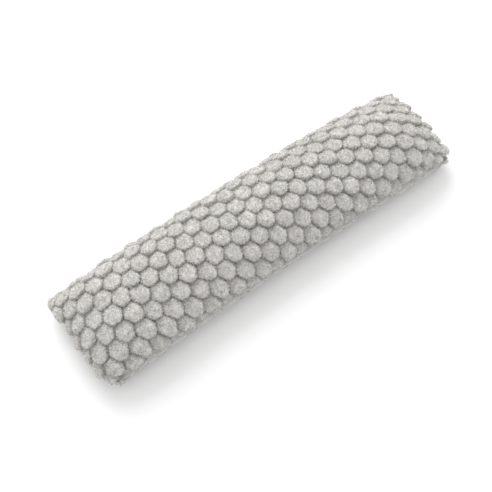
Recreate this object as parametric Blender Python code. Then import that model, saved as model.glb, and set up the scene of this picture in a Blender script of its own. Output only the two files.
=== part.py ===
# Draught excluder: a long filled cushion of pale grey plush, embossed all over with
# hexagonal puffs, sewn from a front and a back panel and lying on its back on the floor.
# Metres, +Z up. X runs along the cushion and Y across it, with the front long seam at -Y.
# The origin is on the floor, under the middle of the cushion's box.

import math

import bmesh
import bpy
import numpy as np
from mathutils import Matrix, Vector

# Panels as cut, seam to seam
CUT_LENGTH = 0.884
CUT_WIDTH = 0.259

# Embossed cloth: columns of puffs along the length, rows across it, slightly off the cut's line
COLUMN_PITCH = 0.0307
ROW_PITCH = 0.0386
CLOTH_TURN = math.radians(1.24)
CLOTH_SHIFT = Vector((-0.006, 0.0155, 0))

# The filled cushion in plan, grooves to grooves
LENGTH = 0.832
WIDTH = 0.200
LEFT_END_WIDTH = 0.212
RIGHT_END_WIDTH = 0.206
BOW = 0.012
SEAM_RIDGE = 0.004

# How far each corner is pulled out of square, by its end and side, and how blunt its tip is
CORNER_PULLS = {
    (-1, 1): Vector((-0.008, 0.007, 0)),
    (-1, -1): Vector((0.010, -0.002, 0)),
    (1, 1): Vector((0.018, 0.007, 0)),
    (1, -1): Vector((0.002, 0.000, 0)),
}
CORNER_BLUNTING = 0.003

# The filled cushion in height
SEAM_HEIGHT = 0.033
CORNER_DROP = 0.006
CROWN_RISE = 0.051
TOP_END_ROUND = 0.116
FOOT_SIDE_ROUND = 0.038
FOOT_END_ROUND = 0.050
FOOT_BULGE = 0.004

# Puffs: each ring's share of the one before it, and how far it lifts
FRONT_RINGS = ((0.80, 0.0050), (0.62, 0.0018))
BACK_RINGS = ((0.74, 0.0050),)
BACK_PUFF = sum(lift for share, lift in BACK_RINGS)
SMALLEST_PUFF = 0.20
SNAP = 0.0045

# Uneven filling: how much the crown swells, half waves from end to end, and where they start
FILL_WAVES = ((0.0016, 2.3, 0.4), (0.0010, 5.1, 1.9))

FRONT, BACK = 1, -1
WELD = 1e-5
ARC_STEPS = 96
PROBE = 5e-4


def clear_scene():
    for thing in list(bpy.data.objects):
        bpy.data.objects.remove(thing)


def plush():
    """Pale grey short-pile plush."""
    material = bpy.data.materials.new("grey_plush")
    material.use_nodes = True
    shader = material.node_tree.nodes["Principled BSDF"]
    shader.inputs["Base Color"].default_value = (0.57, 0.565, 0.55, 1)
    shader.inputs["Roughness"].default_value = 0.95
    shader.inputs["Metallic"].default_value = 0.0
    return material


def tiled_panel():
    """A flat panel of hexagons, one for each puff, trimmed to the cut size."""
    panel = bmesh.new()
    stretch = Matrix.Diagonal((COLUMN_PITCH / 1.5, ROW_PITCH / math.sqrt(3), 1, 1))
    shape = stretch @ Matrix.Rotation(math.pi / 2, 4, "Z")
    cloth = Matrix.Translation(CLOTH_SHIFT) @ Matrix.Rotation(CLOTH_TURN, 4, "Z")
    columns = math.ceil(CUT_LENGTH / 2 / COLUMN_PITCH) + 1
    rows = math.ceil(CUT_WIDTH / 2 / ROW_PITCH) + 2
    for column in range(-columns, columns + 1):
        for row in range(-rows, rows + 1):
            centre = Vector((column * COLUMN_PITCH, (row + column % 2 / 2) * ROW_PITCH, 0))
            place = cloth @ Matrix.Translation(centre) @ shape
            bmesh.ops.create_circle(panel, cap_ends=True, segments=6, radius=1, matrix=place)
    bmesh.ops.remove_doubles(panel, verts=panel.verts, dist=WELD * 10)

    cuts = ((0, CUT_LENGTH / 2), (1, CUT_WIDTH / 2))
    for corner in panel.verts:
        for axis, cut in cuts:
            if abs(abs(corner.co[axis]) - cut) < SNAP:
                corner.co[axis] = math.copysign(cut, corner.co[axis])
    for axis, cut in cuts:
        for side in (1, -1):
            away = Vector((0, 0, 0))
            away[axis] = side
            geometry = panel.verts[:] + panel.edges[:] + panel.faces[:]
            bmesh.ops.bisect_plane(
                panel, geom=geometry, plane_co=away * cut, plane_no=away, clear_outer=True
            )
    bmesh.ops.dissolve_degenerate(panel, edges=panel.edges, dist=WELD)
    bmesh.ops.recalc_face_normals(panel, faces=panel.faces)
    if sum(face.normal.z for face in panel.faces) < 0:
        bmesh.ops.reverse_faces(panel, faces=panel.faces)
    return panel


def raise_puffs(panel, rings):
    """Lifts each hexagon in shrinking rings and leaves its border as the groove. Puffs that
    the seam cuts lift less."""
    sizes = {}
    for face in panel.faces:
        size = face.calc_area() / (COLUMN_PITCH * ROW_PITCH)
        if size > SMALLEST_PUFF:
            sizes[face] = min(1, math.sqrt(size))
    for share, lift in rings:
        bmesh.ops.inset_individual(panel, faces=list(sizes), thickness=0, depth=0)
        for puff, size in sizes.items():
            middle = Matrix.Translation(-puff.calc_center_median_weighted())
            bmesh.ops.scale(panel, vec=(share, share, 1), space=middle, verts=puff.verts)
            bmesh.ops.translate(panel, vec=(0, 0, lift * size), verts=puff.verts)


def round_over(reach, rise, flat):
    """A profile from a seam inwards: a quarter ellipse of this reach and rise, then a flat
    stretch. Gives the distance in plan and the share of the rise at a share of its length."""
    angles = np.linspace(0, np.pi / 2, ARC_STEPS)
    in_plan = reach * (1 - np.cos(angles))
    height = np.sin(angles)
    steps = np.hypot(np.diff(in_plan), rise * np.diff(height))
    length = np.append(0, np.cumsum(steps))
    length = np.append(length, length[-1] + flat)
    in_plan = np.append(in_plan, reach + flat)
    height = np.append(height, 1)

    def at(share):
        along = share * length[-1]
        return np.interp(along, length, in_plan), np.interp(along, length, height)

    return at


TOP_ACROSS = round_over(WIDTH / 2, CROWN_RISE, 0)
TOP_ALONG = round_over(TOP_END_ROUND, CROWN_RISE, LENGTH / 2 - TOP_END_ROUND)
FOOT_ACROSS = round_over(FOOT_SIDE_ROUND, SEAM_HEIGHT, WIDTH / 2 - FOOT_SIDE_ROUND)
FOOT_ALONG = round_over(FOOT_END_ROUND, SEAM_HEIGHT, LENGTH / 2 - FOOT_END_ROUND)


def filled(u, v, side):
    """Where the point (u, v) of a flat panel lies on the filled cushion, puffs left out."""
    to_end = abs(u) / (CUT_LENGTH / 2)
    to_side = abs(v) / (CUT_WIDTH / 2)
    end, flank = math.copysign(1, u), math.copysign(1, v)
    across, along = (TOP_ACROSS, TOP_ALONG) if side == FRONT else (FOOT_ACROSS, FOOT_ALONG)
    side_in, height_across = across(1 - to_side)
    end_in, height_along = along(1 - to_end)
    fullness = TOP_ALONG(1 - to_end)[1]

    seam_x = LENGTH / 2 * to_end
    crown_x = LENGTH / 2 - end_in
    x = seam_x + (crown_x - seam_x) * height_across

    end_width = LEFT_END_WIDTH if end < 0 else RIGHT_END_WIDTH
    half_width = (end_width + (WIDTH - end_width) * fullness) / 2
    round_to_side = 1 - side_in / (WIDTH / 2)
    y = half_width * (to_side + (round_to_side - to_side) * height_along)

    place = Vector((x * end, y * flank - BOW * (x / (LENGTH / 2)) ** 2, 0))
    place += CORNER_PULLS[end, flank] * to_end**4 * to_side**3
    place -= Vector((end, flank, 0)) * CORNER_BLUNTING * (to_end * to_side) ** 8

    seam = SEAM_HEIGHT - CORNER_DROP * (1 - fullness)
    if side == FRONT:
        swell = sum(
            size * math.sin(waves * math.pi * u / CUT_LENGTH + start)
            for size, waves, start in FILL_WAVES
        )
        place.z = seam + (CROWN_RISE + swell) * height_across * height_along
    else:
        drop = height_across * height_along
        bulge = FOOT_BULGE * 4 * drop * (1 - drop)
        place += Vector((end * to_end**4, flank * to_side**4, 0)) * bulge
        place.z = seam - (seam - BACK_PUFF) * drop
    return place


def facing(u, v, side):
    """The way out of the filled cushion at the panel's point (u, v)."""
    along = filled(u + PROBE, v, side) - filled(u - PROBE, v, side)
    across = filled(u, v + PROBE, side) - filled(u, v - PROBE, side)
    return along.cross(across).normalized() * side


def filled_panel(side, rings):
    """One panel with its puffs raised, bent onto its half of the filled cushion."""
    panel = tiled_panel()
    raise_puffs(panel, rings)
    for point in panel.verts:
        u, v, lift = point.co
        point.co = filled(u, v, side)
        if lift > WELD:
            point.co += facing(u, v, side) * lift
        if abs(u) > CUT_LENGTH / 2 - WELD:
            point.co.x += math.copysign(SEAM_RIDGE, u)
        if abs(v) > CUT_WIDTH / 2 - WELD:
            point.co.y += math.copysign(SEAM_RIDGE, v)
        point.co.z = max(point.co.z, 0)
    mesh = bpy.data.meshes.new("panel")
    panel.to_mesh(mesh)
    panel.free()
    return mesh


def cushion(collection, material):
    """The front and back panels closed at their seams, as one filled solid on the floor."""
    body = bmesh.new()
    for side, rings in ((FRONT, FRONT_RINGS), (BACK, BACK_RINGS)):
        mesh = filled_panel(side, rings)
        body.from_mesh(mesh)
        bpy.data.meshes.remove(mesh)
    bmesh.ops.remove_doubles(body, verts=body.verts, dist=WELD)
    bmesh.ops.triangulate(body, faces=body.faces)
    bmesh.ops.recalc_face_normals(body, faces=body.faces)
    for axis in (0, 1):
        spread = [point.co[axis] for point in body.verts]
        middle = (min(spread) + max(spread)) / 2
        for point in body.verts:
            point.co[axis] -= middle

    mesh = bpy.data.meshes.new("cushion")
    body.to_mesh(mesh)
    body.free()
    mesh.shade_smooth()
    mesh.materials.append(material)
    thing = bpy.data.objects.new("cushion", mesh)
    collection.objects.link(thing)
    return thing


def main():
    clear_scene()
    collection = bpy.data.collections.new("draught_excluder")
    bpy.context.scene.collection.children.link(collection)
    cushion(collection, plush())


main()
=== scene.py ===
import math

import bmesh
import bpy
import numpy as np
from mathutils import Matrix, Vector


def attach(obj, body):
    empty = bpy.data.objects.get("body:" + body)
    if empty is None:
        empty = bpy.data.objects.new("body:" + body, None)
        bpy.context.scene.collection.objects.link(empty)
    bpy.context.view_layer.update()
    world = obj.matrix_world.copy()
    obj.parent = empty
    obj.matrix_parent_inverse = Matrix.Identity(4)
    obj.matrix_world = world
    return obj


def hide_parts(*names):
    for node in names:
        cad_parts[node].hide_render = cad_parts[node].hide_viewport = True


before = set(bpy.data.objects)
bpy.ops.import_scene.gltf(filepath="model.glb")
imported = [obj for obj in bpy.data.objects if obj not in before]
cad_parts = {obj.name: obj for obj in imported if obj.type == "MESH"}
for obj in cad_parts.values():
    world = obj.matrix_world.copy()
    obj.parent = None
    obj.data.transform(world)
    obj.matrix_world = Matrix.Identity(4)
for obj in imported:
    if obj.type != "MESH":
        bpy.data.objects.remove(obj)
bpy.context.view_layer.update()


class Wire:  # a node's output that takes part in Python expressions
    def __init__(self, tree, socket):
        self.tree, self.socket = tree, socket

    def math(self, operation, other=None, flipped=False, **settings):
        ends = [self] if other is None else [other, self] if flipped else [self, other]
        settings = {"operation": operation, **settings}
        return addNode(self.tree, "ShaderNodeMath", settings, dict(enumerate(ends)))[0]

    def __add__(self, other):
        return self.math("ADD", other)

    def __sub__(self, other):
        return self.math("SUBTRACT", other)

    def __mul__(self, other):
        return self.math("MULTIPLY", other)

    def __pow__(self, other):
        return self.math("POWER", other)

    def __radd__(self, other):
        return self.math("ADD", other)

    def __rmul__(self, other):
        return self.math("MULTIPLY", other)

    def __rsub__(self, other):
        return self.math("SUBTRACT", other, flipped=True)

    def clamp(self):
        return self.math("ADD", 0.0, use_clamp=True)


class Outputs:
    def __init__(self, tree, node):
        self.tree, self.node = tree, node

    def __getitem__(self, key):
        return Wire(self.tree, self.node.outputs[key])


def addNode(tree, kind, settings=None, values=None):
    node = tree.nodes.new(kind)
    for name, value in (settings or {}).items():
        setattr(node, name, value)
    for key, value in (values or {}).items():
        if isinstance(value, Wire):
            tree.links.new(value.socket, node.inputs[key])
        else:
            node.inputs[key].default_value = value
    return Outputs(tree, node)


def newMaterial(name):
    material = bpy.data.materials.new(name)
    material.use_nodes = True
    tree = material.node_tree
    return material, tree, tree.nodes["Principled BSDF"]


def feed(tree, wire, socket):
    tree.links.new(wire.socket, socket)


clothCut = {
    "length": 0.884,
    "width": 0.259,
    "columnPitch": 0.0307,
    "rowPitch": 0.0386,
    "turn": math.radians(1.24),
    "shift": (-0.006, 0.0155),
}

pillow = {
    "length": 0.832,  # groove to groove
    "width": 0.200,
    "leftEndWidth": 0.212,
    "rightEndWidth": 0.206,
    "bow": 0.012,
    "seamHeight": 0.033,
    "cornerDrop": 0.006,
    "crownRise": 0.051,
    "topEndRound": 0.116,
    "footSideRound": 0.038,
    "footEndRound": 0.050,
    "footBulge": 0.004,
    "footLift": 0.005,
    "cornerPulls": {
        (-1, 1): (-0.012, 0.011),
        (-1, -1): (0.010, -0.002),
        (1, 1): (0.018, 0.007),
        (1, -1): (0.002, 0.000),
    },
    "cornerReach": (4, 3),  # how fast a pull fades along the length and across the width
    "cornerBlunting": 0.010,
    "bluntingFade": 5,
    "leftBackBulge": (0.008, 0.80, 0.22),  # outwards, and where and how wide across the end
    "waves": ((0.0016, 2.3, 0.4), (0.0010, 5.1, 1.9)),  # swell, half waves end to end, start
    "middle": (-0.0050, 0.0075),  # from the panels' middle to the box's
}


def roundOver(share, reach, rise, flat):  # a quarter ellipse from the seam, then a flat stretch
    angles = np.linspace(0, np.pi / 2, 96)
    inPlan = reach * (1 - np.cos(angles))
    height = np.sin(angles)
    length = np.append(0, np.cumsum(np.hypot(np.diff(inPlan), rise * np.diff(height))))
    length = np.append(length, length[-1] + flat)
    along = np.clip(share, 0, 1) * length[-1]
    return (
        np.interp(along, length, np.append(inPlan, reach + flat)),
        np.interp(along, length, np.append(height, 1)),
    )


def filled(u, v, isFront):
    p = pillow
    halfLength, halfWidth = p["length"] / 2, p["width"] / 2
    toEnd, toSide = np.abs(u) / (clothCut["length"] / 2), np.abs(v) / (clothCut["width"] / 2)
    end, flank = np.where(u < 0, -1, 1), np.where(v < 0, -1, 1)
    topAcross = roundOver(1 - toSide, halfWidth, p["crownRise"], 0)
    topAlong = roundOver(1 - toEnd, p["topEndRound"], p["crownRise"], halfLength - p["topEndRound"])
    footAcross = roundOver(1 - toSide, p["footSideRound"], p["seamHeight"], halfWidth - p["footSideRound"])
    footAlong = roundOver(1 - toEnd, p["footEndRound"], p["seamHeight"], halfLength - p["footEndRound"])
    sideIn = np.where(isFront, topAcross[0], footAcross[0])
    heightAcross = np.where(isFront, topAcross[1], footAcross[1])
    endIn = np.where(isFront, topAlong[0], footAlong[0])
    heightAlong = np.where(isFront, topAlong[1], footAlong[1])
    fullness = topAlong[1]

    seamX = halfLength * toEnd
    x = seamX + (halfLength - endIn - seamX) * heightAcross
    endWidth = np.where(end < 0, p["leftEndWidth"], p["rightEndWidth"])
    half = (endWidth + (p["width"] - endWidth) * fullness) / 2
    y = half * (toSide + (1 - sideIn / halfWidth - toSide) * heightAlong)
    placeX, placeY = x * end, y * flank - p["bow"] * (x / halfLength) ** 2

    alongFade, acrossFade = p["cornerReach"]
    for (atEnd, atFlank), (pullX, pullY) in p["cornerPulls"].items():
        weight = toEnd**alongFade * toSide**acrossFade * (end == atEnd) * (flank == atFlank)
        placeX = placeX + pullX * weight
        placeY = placeY + pullY * weight
    blunting = p["cornerBlunting"] * (toEnd * toSide) ** p["bluntingFade"]
    placeX, placeY = placeX - end * blunting, placeY - flank * blunting
    size, bulgeAt, bulgeWidth = p["leftBackBulge"]
    leftBack = toEnd**alongFade * (end < 0) * (flank > 0)
    placeX = placeX - size * np.exp(-(((toSide - bulgeAt) / bulgeWidth) ** 2)) * leftBack

    seamLevel = p["seamHeight"] - p["cornerDrop"] * (1 - fullness)
    filling = heightAcross * heightAlong
    swell = sum(
        size * np.sin(count * np.pi * u / clothCut["length"] + start)
        for size, count, start in p["waves"]
    )
    bulge = np.where(isFront, 0, p["footBulge"] * 4 * filling * (1 - filling))
    placeX = placeX + end * toEnd**4 * bulge + p["middle"][0]
    placeY = placeY + flank * toSide**4 * bulge + p["middle"][1]
    top = seamLevel + (p["crownRise"] + swell) * filling
    foot = seamLevel - (seamLevel - p["footLift"]) * filling
    return np.stack([placeX, placeY, np.where(isFront, top, foot)], -1)


puffs = {
    "frontHeight": 0.0112,
    "footHeight": 0.0050,
    "squareness": 7.0,  # of the hexagon's corners
    "hexagonSide": 0.866,  # how far its sides are from its middle, for corners at 1
    "flatness": (1.35, 5.2),  # of a dome at its back and at its front
    "frontwards": (0.22, -0.975),  # the way that the domes sag and face
    "steepness": 0.62,
    "tilt": 0.25,  # how much higher a dome's front edge stands than its back
    "slump": 0.0062,  # how far the domes sag towards the front
    "slumpFade": 2,
    "dents": 0.0009,
    "dentSize": 0.013,
    "uneven": 0.42,  # how far one puff's height differs from another's
    "usual": 0.6,  # the share of the puffs that are lower than the height above
    "wander": 0.0015,  # how far the grooves stray from straight hexagons
    "wanderSize": 0.026,
    "seamEase": 0.007,  # how far from the seam the puffs reach their full height
    "frontSeamEase": 0.020,
    "easeFade": 0.7,
    "shade": 0.12,  # how much of the painted groove shade shows at a puff's back, which faces the light
    "shadeAtSeam": 0.3,
}

seam = {
    "ridge": 0.0045,
    "frontRidge": 0.0110,
    "frontStrip": 0.006,  # plain strip beside the front seam
    "pileLeft": 0.35,  # the pile's length on it
    "ridgeWidth": 0.0021,
    "frontAt": 0.004,  # how far above the front panel's lower edge its front seam lies
    "frontTaper": 0.03,  # and from the ends to where it lies that far
    "sway": 0.001,
    "swaySize": 0.05,
    "pinch": 0.0018,  # depth of the drawn-in strip beside the ridge
    "pinchAt": 0.0045,
    "pinchWidth": 0.0020,
    "pucker": 0.0016,
    "puckerReach": 0.016,
    "puckerPitch": 0.019,
}

skinGrid = {"across": 118, "along": 330, "crowding": 0.22}


ripples = {"count": 5, "turnStep": 2.4, "slowest": 0.7, "step": 0.23, "phaseStep": 1.7, "level": 3}


def wobble(a, b, size, start):  # a smooth, uneven field of about -1 to 1 that changes over this size
    r = ripples
    total = 0
    for step in range(r["count"]):
        turn = start + step * r["turnStep"]
        pace = (r["slowest"] + r["step"] * step) * math.pi / size
        phase = start * 7 + step * r["phaseStep"]
        total = total + np.sin((a * math.cos(turn) + b * math.sin(turn)) * pace + phase)
    return total / r["level"]


# Gives each point's height on its dome from 0 to 1, how far frontwards it lies from -1 to 1,
# its way out from the puff's middle and the puff's number
def puffAt(u, v):
    c, turn = clothCut, clothCut["turn"]
    strayU = puffs["wander"] * wobble(u, v, puffs["wanderSize"], 1.3)
    strayV = puffs["wander"] * wobble(u, v, puffs["wanderSize"], 4.1)
    u, v = u + strayU, v + strayV
    u, v = u - c["shift"][0], v - c["shift"][1]
    u, v = u * math.cos(turn) + v * math.sin(turn), -u * math.sin(turn) + v * math.cos(turn)
    reach = (c["columnPitch"] / 1.5, c["rowPitch"] / math.sqrt(3))
    hexagonSide, power = puffs["hexagonSide"], puffs["squareness"]
    best = np.full(u.shape, np.inf)
    softBest = np.full(u.shape, np.inf)
    out = np.zeros((*u.shape, 2))
    number = np.zeros(u.shape)
    nearest = np.round(u / c["columnPitch"])
    for step in (-1, 0, 1):
        column = nearest + step
        offset = np.mod(column, 2) / 2
        row = np.round(v / c["rowPitch"] - offset)
        x = (u - column * c["columnPitch"]) / reach[0]
        y = (v - (row + offset) * c["rowPitch"]) / reach[1]
        slant = x * hexagonSide
        sides = np.stack([np.abs(y), np.abs(y / 2 + slant), np.abs(y / 2 - slant)])
        hard = sides.max(0) / hexagonSide
        soft = (sides**power).sum(0) ** (1 / power) / hexagonSide
        closer = hard < best
        best = np.where(closer, hard, best)
        out = np.where(closer[..., None], np.stack([x, y], -1), out)
        number = np.where(closer, column * 31 + row * 7, number)
        softBest = np.where(closer, soft, softBest)
    fromMiddle = np.maximum(np.hypot(out[..., 0], out[..., 1]), 1e-6)
    towards = (out @ np.array(puffs["frontwards"])) / fromMiddle
    atBack, atFront = puffs["flatness"]
    flatness = atBack + (atFront - atBack) * (towards / 2 + 0.5)
    dome = (1 - np.minimum(softBest, 1) ** flatness) ** puffs["steepness"]
    return dome, towards, out, number


def setAttribute(mesh, name, kind, values):
    attribute = mesh.attributes.new(name, kind, "POINT")
    key = "vector" if kind == "FLOAT_VECTOR" else "value"
    attribute.data.foreach_set(key, np.ascontiguousarray(values, np.float32).ravel())


def readPoints(mesh):
    points = np.empty(len(mesh.vertices) * 3, np.float32)
    mesh.vertices.foreach_get("co", points)
    return points.reshape(-1, 3).astype(float)


def readNormals(mesh):
    normals = np.empty(len(mesh.vertices) * 3, np.float32)
    mesh.vertex_normals.foreach_get("vector", normals)
    return normals.reshape(-1, 3).astype(float)


def flatPanels(across, along, crowding):  # two grids, the front's at z 1 and the back's at z -1
    body = bmesh.new()
    for side in (1, -1):
        place = Matrix.Translation((0, 0, side)) @ Matrix.Rotation(math.pi if side < 0 else 0, 4, "X")
        bmesh.ops.create_grid(body, x_segments=along, y_segments=across, size=1, matrix=place)
    mesh = bpy.data.meshes.new("plushSkin")
    body.to_mesh(mesh)
    body.free()
    points = readPoints(mesh)
    ease = 1 + crowding * (1 - points[:, :2] ** 2)
    points[:, :2] *= ease
    points[:, 0] *= clothCut["length"] / 2
    points[:, 1] *= clothCut["width"] / 2
    return mesh, points


def sewnShape():  # both panels filled and welded at their seams, and each point's place on the cloth
    mesh, flat = flatPanels(skinGrid["across"], skinGrid["along"], skinGrid["crowding"])
    place = filled(flat[:, 0], flat[:, 1], flat[:, 2] > 0)
    mesh.vertices.foreach_set("co", place.ravel())
    setAttribute(mesh, "clothPlace", "FLOAT_VECTOR", flat)
    body = bmesh.new()
    body.from_mesh(mesh)
    bmesh.ops.remove_doubles(body, verts=body.verts, dist=1e-5)
    bmesh.ops.recalc_face_normals(body, faces=body.faces)
    body.to_mesh(mesh)
    body.free()

    flat = np.empty(len(mesh.vertices) * 3, np.float32)
    mesh.attributes["clothPlace"].data.foreach_get("vector", flat)
    return mesh, flat.reshape(-1, 3).astype(float)


def bellAt(distance, width):  # 1 at no distance, fading to 0 over this width
    return np.exp(-((distance / width) ** 2))


def makeSkin():
    mesh, flat = sewnShape()
    u, v, isFront = flat[:, 0], flat[:, 1], flat[:, 2] > 0
    points, normals = readPoints(mesh), readNormals(mesh)
    toEnd, toSide = clothCut["length"] / 2 - np.abs(u), clothCut["width"] / 2 - np.abs(v)
    lifted = seam["frontAt"] * np.clip(toEnd / seam["frontTaper"], 0, 1) * isFront * (v < 0)
    sway = seam["sway"] * wobble(u, v, seam["swaySize"], 0.4) * (lifted > 0)
    toSeam = np.minimum(toEnd, np.abs(toSide - lifted - sway))
    atLongSeam = toSide < toEnd
    atFrontSeam = isFront * (v < 0) * atLongSeam

    dome, towards, out, number = puffAt(u, v)
    easeOver = np.where(atFrontSeam, puffs["frontSeamEase"], puffs["seamEase"])
    ease = np.clip(toSeam / easeOver, 0, 1) ** puffs["easeFade"]
    height = np.where(isFront, puffs["frontHeight"], puffs["footHeight"]) * dome * ease
    chance = np.mod(np.sin(number * 12.9898) * 43758.5, 1)  # 0 to 1, one for each puff
    tilted = np.where(isFront, 1 - puffs["tilt"] * out[:, 1], 1)
    height *= tilted * (1 + puffs["uneven"] * (chance - puffs["usual"]))
    dents = puffs["dents"] * wobble(u, v, puffs["dentSize"], 5.2) * isFront

    ridge = bellAt(toSeam, seam["ridgeWidth"])
    ridgeHeight = np.where(atLongSeam * (v < 0), seam["frontRidge"], seam["ridge"])
    pinch = seam["pinch"] * bellAt(toSeam - seam["pinchAt"], seam["pinchWidth"])
    pucker = seam["pucker"] * wobble(u, v, seam["puckerPitch"], 2.7) * bellAt(toSeam, seam["puckerReach"])
    points += normals * (height + ridge * ridgeHeight - pinch + pucker + dents)[:, None]
    points[:, 1] -= puffs["slump"] * dome ** puffs["slumpFade"] * ease * isFront
    points[:, 2] = np.maximum(points[:, 2], 0)
    mesh.vertices.foreach_set("co", points.ravel())
    mesh.update()

    # Painted shade: the skin's colour is darkened in the grooves between the puffs, most on each puff's front
    # side, which faces away from the light at the back. The seam ridge and the strip beside the front seam
    # keep the pile colour, free of it. The pile's blades are also shorter where this mask is low.
    shadeAwayFromLight = puffs["shade"] + (1 - puffs["shade"]) * (towards / 2 + 0.5)
    paintedShade = (1 - dome * ease ** puffs["shadeAtSeam"]) * shadeAwayFromLight
    strip = bellAt(toSeam, seam["frontStrip"]) * atFrontSeam
    setAttribute(mesh, "puffHeight", "FLOAT", np.maximum.reduce([1 - paintedShade, ridge, strip]))
    setAttribute(mesh, "seamLine", "FLOAT", np.maximum(ridge, strip) * (v < 0))
    mesh.shade_smooth()
    skin = bpy.data.objects.new("plushSkin", mesh)
    bpy.context.scene.collection.objects.link(skin)
    return skin


plushLook = {
    "pile": (0.80, 0.788, 0.762),
    # painted shade: the colour of the shaded grooves and puff fronts
    "groove": (0.34, 0.328, 0.305),
    "swirls": {"Scale": 170.0, "Detail": 2.0, "Distortion": 4.0},
    "heightShare": 0.6,  # how much of the lighter colour comes from the puffs' height, through the painted shade in the grooves and on the puffs' front sides
    "swirlShare": 2.5,
    "lightest": 0.15,
    "bump": {"Distance": 0.002, "Strength": 0.8},
    "roughness": 0.95,
    "sheen": 0.4,
    "sheenRoughness": 0.5,
}


def swirls(tree, place):
    return addNode(tree, "ShaderNodeTexNoise", None, {"Vector": place, **plushLook["swirls"]})[0]


def plushMaterial():
    look = plushLook
    material, tree, shader = newMaterial("greyPlush")
    puffHeight = addNode(tree, "ShaderNodeAttribute", {"attribute_name": "puffHeight"})["Fac"]
    place = addNode(tree, "ShaderNodeTexCoord")["Object"]
    fuzz = swirls(tree, place)
    # painted groove shade mixed with random swirls of tone
    light = (puffHeight * look["heightShare"] + (fuzz - 0.5) * look["swirlShare"] + look["lightest"]).clamp()
    colours = {"Factor": light, 6: (*look["groove"], 1), 7: (*look["pile"], 1)}
    colour = addNode(tree, "ShaderNodeMix", {"data_type": "RGBA"}, colours)[2]
    feed(tree, colour, shader.inputs["Base Color"])
    bump = addNode(tree, "ShaderNodeBump", None, {"Height": fuzz, **look["bump"]})[0]
    feed(tree, bump, shader.inputs["Normal"])
    shader.inputs["Roughness"].default_value = look["roughness"]
    shader.inputs["Sheen Weight"].default_value = look["sheen"]
    shader.inputs["Sheen Roughness"].default_value = look["sheenRoughness"]
    return material


pile = {  # short pile, each blade a small bundle of fibres
    "pieces": 4,
    "bladesEach": 190000,
    "skinArea": 0.62,  # the cover's, in square metres
    "densities": (1, 2, 2, 2),  # where a tone grows on about half of the cover, it is denser there
    "length": 0.0046,
    "width": 0.00085,
    "shortest": 0.4,
    "shortness": 1.5,  # how many of the blades are short ones
    "tuftSize": 0.0045,
    "tuftLean": 1.5,
    "sweepSize": 0.03,
    "sweepLean": 0.9,
    "grooveLength": 0.45,
    "floorClearance": 0.0003,
    # the third tone, the darkest, is painted shade between fibres; the others are tones that differ at random
    "tones": ((0.70, 0.687, 0.660), (0.82, 0.808, 0.781), (0.43, 0.418, 0.393), (0.93, 0.922, 0.898)),
    "swirlRange": ((0.0, 1.0), (0.49, 1.0), (0.0, 0.47), (0.54, 1.0)),  # where each tone grows
    "offTheSeam": (0.0, 0.0, 0.2, 0.0),  # how far each tone keeps off the front seam; only the painted fibre shade keeps off it
    "roughness": 0.9,
    "sheen": 0.3,
}


def makeBlade():
    body = bmesh.new()
    bmesh.ops.create_circle(body, cap_ends=True, segments=3, radius=1)
    bmesh.ops.rotate(body, cent=(0, 0, 0), matrix=Matrix.Rotation(math.pi / 2, 3, "X"), verts=body.verts)
    low = min(point.co.z for point in body.verts)
    high = max(point.co.z for point in body.verts)
    for point in body.verts:
        point.co.z = (point.co.z - low) / (high - low) * pile["length"]
        point.co.x *= pile["width"] / 2 / puffs["hexagonSide"]
    mesh = bpy.data.meshes.new("blade")
    body.to_mesh(mesh)
    body.free()
    blade = bpy.data.objects.new("blade", mesh)
    return blade


def vectorMath(tree, operation, *values):
    keys = {"SCALE": (0, "Scale")}.get(operation, range(3))
    return addNode(tree, "ShaderNodeVectorMath", {"operation": operation}, dict(zip(keys, values)))[0]


def noiseLean(tree, size, strength, offset):  # a random vector that changes over this size
    place = vectorMath(tree, "ADD", addNode(tree, "GeometryNodeInputPosition")[0], offset)
    colour = addNode(tree, "ShaderNodeTexNoise", None, {"Vector": place, "Scale": 1 / size, "Detail": 1.0})[1]
    centred = vectorMath(tree, "SUBTRACT", colour, (0.5, 0.5, 0.5))
    return vectorMath(tree, "SCALE", centred, strength * 2)


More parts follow.
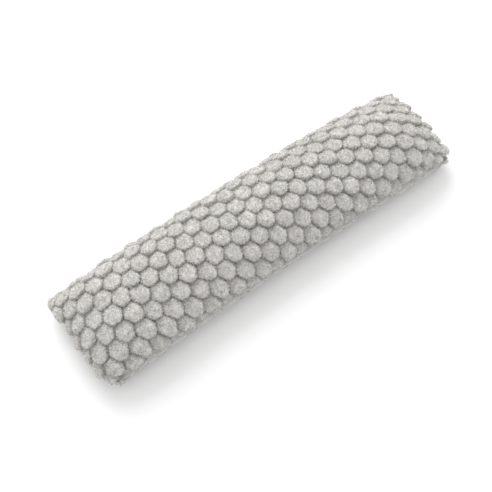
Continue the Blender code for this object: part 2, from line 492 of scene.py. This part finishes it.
def pileTree(skin, blade, index):
    tree = bpy.data.node_groups.new(f"pile{index}", "GeometryNodeTree")
    tree.interface.new_socket("Geometry", in_out="INPUT", socket_type="NodeSocketGeometry")
    tree.interface.new_socket("Geometry", in_out="OUTPUT", socket_type="NodeSocketGeometry")
    asMade, oneValue = {"transform_space": "ORIGINAL"}, {"data_type": "FLOAT"}
    cloth = addNode(tree, "GeometryNodeObjectInfo", asMade, {"Object": skin})["Geometry"]
    density = pile["bladesEach"] / pile["skinArea"] * pile["densities"][index]
    scattered = addNode(
        tree,
        "GeometryNodeDistributePointsOnFaces",
        {"distribute_method": "RANDOM"},
        {"Mesh": cloth, "Density": density, "Seed": index},
    )
    points, normal = scattered["Points"], scattered["Normal"]
    lean = vectorMath(tree, "ADD", normal, noiseLean(tree, pile["tuftSize"], pile["tuftLean"], (0, 0, 0)))
    lean = vectorMath(tree, "ADD", lean, noiseLean(tree, pile["sweepSize"], pile["sweepLean"], (3, 1, 7)))
    upright = addNode(tree, "FunctionNodeAlignRotationToVector", {"axis": "Z"}, {"Vector": lean})[0]
    anyTurn = {"Min": -math.pi, "Max": math.pi, "Seed": 11 + index}
    spin = addNode(tree, "FunctionNodeRandomValue", oneValue, anyTurn)["Value"]
    about = addNode(tree, "FunctionNodeAxisAngleToRotation", None, {"Axis": (0, 0, 1), "Angle": spin})[0]
    ownAxes = {"rotation_space": "LOCAL"}
    turned = addNode(tree, "FunctionNodeRotateRotation", ownAxes, {0: upright, 1: about})[0]

    height = addNode(tree, "GeometryNodeInputNamedAttribute", oneValue, {"Name": "puffHeight"})[0]
    onSeam = addNode(tree, "GeometryNodeInputNamedAttribute", oneValue, {"Name": "seamLine"})[0]
    anyLength = {"Min": pile["shortest"], "Max": 1.0, "Seed": 31 + index}
    uneven = addNode(tree, "FunctionNodeRandomValue", oneValue, anyLength)["Value"]
    tall = uneven ** pile["shortness"] * (pile["grooveLength"] + (1 - pile["grooveLength"]) * height)
    tall = tall * (1 - (1 - seam["pileLeft"]) * onSeam)
    swirl = swirls(tree, addNode(tree, "GeometryNodeInputPosition")[0])
    low, high = pile["swirlRange"][index]
    pushedOff = swirl + onSeam * pile["offTheSeam"][index]
    chosen = swirl.math("GREATER_THAN", low) * pushedOff.math("LESS_THAN", high)
    blades = addNode(tree, "GeometryNodeObjectInfo", asMade, {"Object": blade})["Geometry"]
    size = addNode(tree, "ShaderNodeCombineXYZ", None, {"X": 1.0, "Y": 1.0, "Z": tall})[0]
    placed = addNode(
        tree,
        "GeometryNodeInstanceOnPoints",
        None,
        {"Points": points, "Selection": chosen, "Instance": blades, "Rotation": turned, "Scale": size},
    )[0]
    real = addNode(tree, "GeometryNodeRealizeInstances", None, {"Geometry": placed})[0]
    place = addNode(tree, "GeometryNodeInputPosition")[0]
    lowest = pile["floorClearance"] * (1 + index) / pile["pieces"]
    pressed = vectorMath(tree, "MAXIMUM", place, (-9, -9, lowest))  # only z is held, above the floor
    done = addNode(tree, "GeometryNodeSetPosition", None, {"Geometry": real, "Position": pressed})[0]
    output = tree.nodes.new("NodeGroupOutput")
    tree.links.new(done.socket, output.inputs[0])
    return tree


def makePile(skin, blade, index):
    holder = bpy.data.objects.new(f"pile{index}", bpy.data.meshes.new(f"pile{index}"))
    bpy.context.scene.collection.objects.link(holder)
    modifier = holder.modifiers.new("pile", "NODES")
    modifier.node_group = pileTree(skin, blade, index)
    graph = bpy.context.evaluated_depsgraph_get()
    mesh = bpy.data.meshes.new_from_object(holder.evaluated_get(graph), depsgraph=graph)
    holder.modifiers.clear()
    holder.data = mesh
    mesh.name = f"pile{index}"
    for name in ("puffHeight", "clothPlace", "seamLine"):
        if name in mesh.attributes:
            mesh.attributes.remove(mesh.attributes[name])
    mesh.materials.clear()
    material, _, shader = newMaterial(f"pileToneAndFibreShade{index}")
    shader.inputs["Base Color"].default_value = (*pile["tones"][index], 1)
    shader.inputs["Roughness"].default_value = pile["roughness"]
    shader.inputs["Sheen Weight"].default_value = pile["sheen"]
    mesh.materials.append(material)
    return holder


view = {  # degrees, metres and, for the lens, millimetres
    "azimuth": -35.33,
    "elevation": 65.93,
    "distance": 1.1773,
    "aside": -0.02812,
    "upwards": -0.05043,
    "lens": 42.96,
    "target": (-0.0050, 0.0075, 0.033),
}

studio = {
    "sky": 0.99,
    "skyBrighter": (0.10, 0.17, 0.0),  # how much brighter the sky is towards +X and +Y
    "softbox": {"at": (0.5, 2.2, 1.5), "size": 2.2, "power": 68.0},
    "floor": (0.90, 0.90, 0.90),
    "floorRoughness": 0.9,
    "floorReach": 25,
    "floorDrop": 0.0002,  # keeps the floor clear of the pressed underside
}


def makeCamera():
    azimuth, elevation = math.radians(view["azimuth"]), math.radians(view["elevation"])
    back = Vector(
        (
            math.sin(azimuth) * math.cos(elevation),
            -math.cos(azimuth) * math.cos(elevation),
            math.sin(elevation),
        )
    )
    aside = Vector((0, 0, 1)).cross(back).normalized()
    upwards = back.cross(aside)
    data = bpy.data.cameras.new("camera")
    data.sensor_width = 36
    data.lens = view["lens"]
    camera = bpy.data.objects.new("camera", data)
    camera.rotation_mode = "QUATERNION"
    camera.rotation_quaternion = (-back).to_track_quat("-Z", "Y")
    camera.location = (
        Vector(view["target"]) + back * view["distance"] + aside * view["aside"] + upwards * view["upwards"]
    )
    bpy.context.scene.collection.objects.link(camera)
    bpy.context.scene.camera = camera
    bpy.context.scene.view_settings.view_transform = "Standard"


def makeLights():
    world = bpy.data.worlds.new("studio")
    world.use_nodes = True
    tree = world.node_tree
    direction = addNode(tree, "ShaderNodeTexCoord")["Generated"]
    vectors = {0: direction, 1: studio["skyBrighter"]}
    slope = addNode(tree, "ShaderNodeVectorMath", {"operation": "DOT_PRODUCT"}, vectors)["Value"]
    feed(tree, (1 + slope) * studio["sky"], tree.nodes["Background"].inputs["Strength"])
    tree.nodes["Background"].inputs["Color"].default_value = (1, 1, 1, 1)
    bpy.context.scene.world = world
    box = studio["softbox"]
    data = bpy.data.lights.new("softbox", "AREA")
    data.shape, data.size, data.energy = "SQUARE", box["size"], box["power"]
    light = bpy.data.objects.new("softbox", data)
    light.location = box["at"]
    light.rotation_mode = "QUATERNION"
    light.rotation_quaternion = (-Vector(box["at"])).to_track_quat("-Z", "Y")
    bpy.context.scene.collection.objects.link(light)


def makeFloor():
    body = bmesh.new()
    bmesh.ops.create_grid(body, x_segments=1, y_segments=1, size=studio["floorReach"])
    mesh = bpy.data.meshes.new("studioFloor")
    body.to_mesh(mesh)
    body.free()
    floor = bpy.data.objects.new("studioFloor", mesh)
    floor.location.z = -studio["floorDrop"]
    bpy.context.scene.collection.objects.link(floor)
    material, _, shader = newMaterial("paleFloor")
    shader.inputs["Base Color"].default_value = (*studio["floor"], 1)
    shader.inputs["Roughness"].default_value = studio["floorRoughness"]
    mesh.materials.append(material)


makeCamera()
makeLights()
makeFloor()
print("studio ready")

skin = makeSkin()
skin.data.materials.append(plushMaterial())
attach(skin, "root")
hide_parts("cushion")
print("skin ready:", len(skin.data.polygons), "faces")

blade = makeBlade()
bpy.context.scene.collection.objects.link(blade)
for index in range(pile["pieces"]):
    piece = makePile(skin, blade, index)
    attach(piece, "root")
    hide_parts("cushion")
    print(piece.name, len(piece.data.polygons), "blades")
bpy.data.objects.remove(blade)
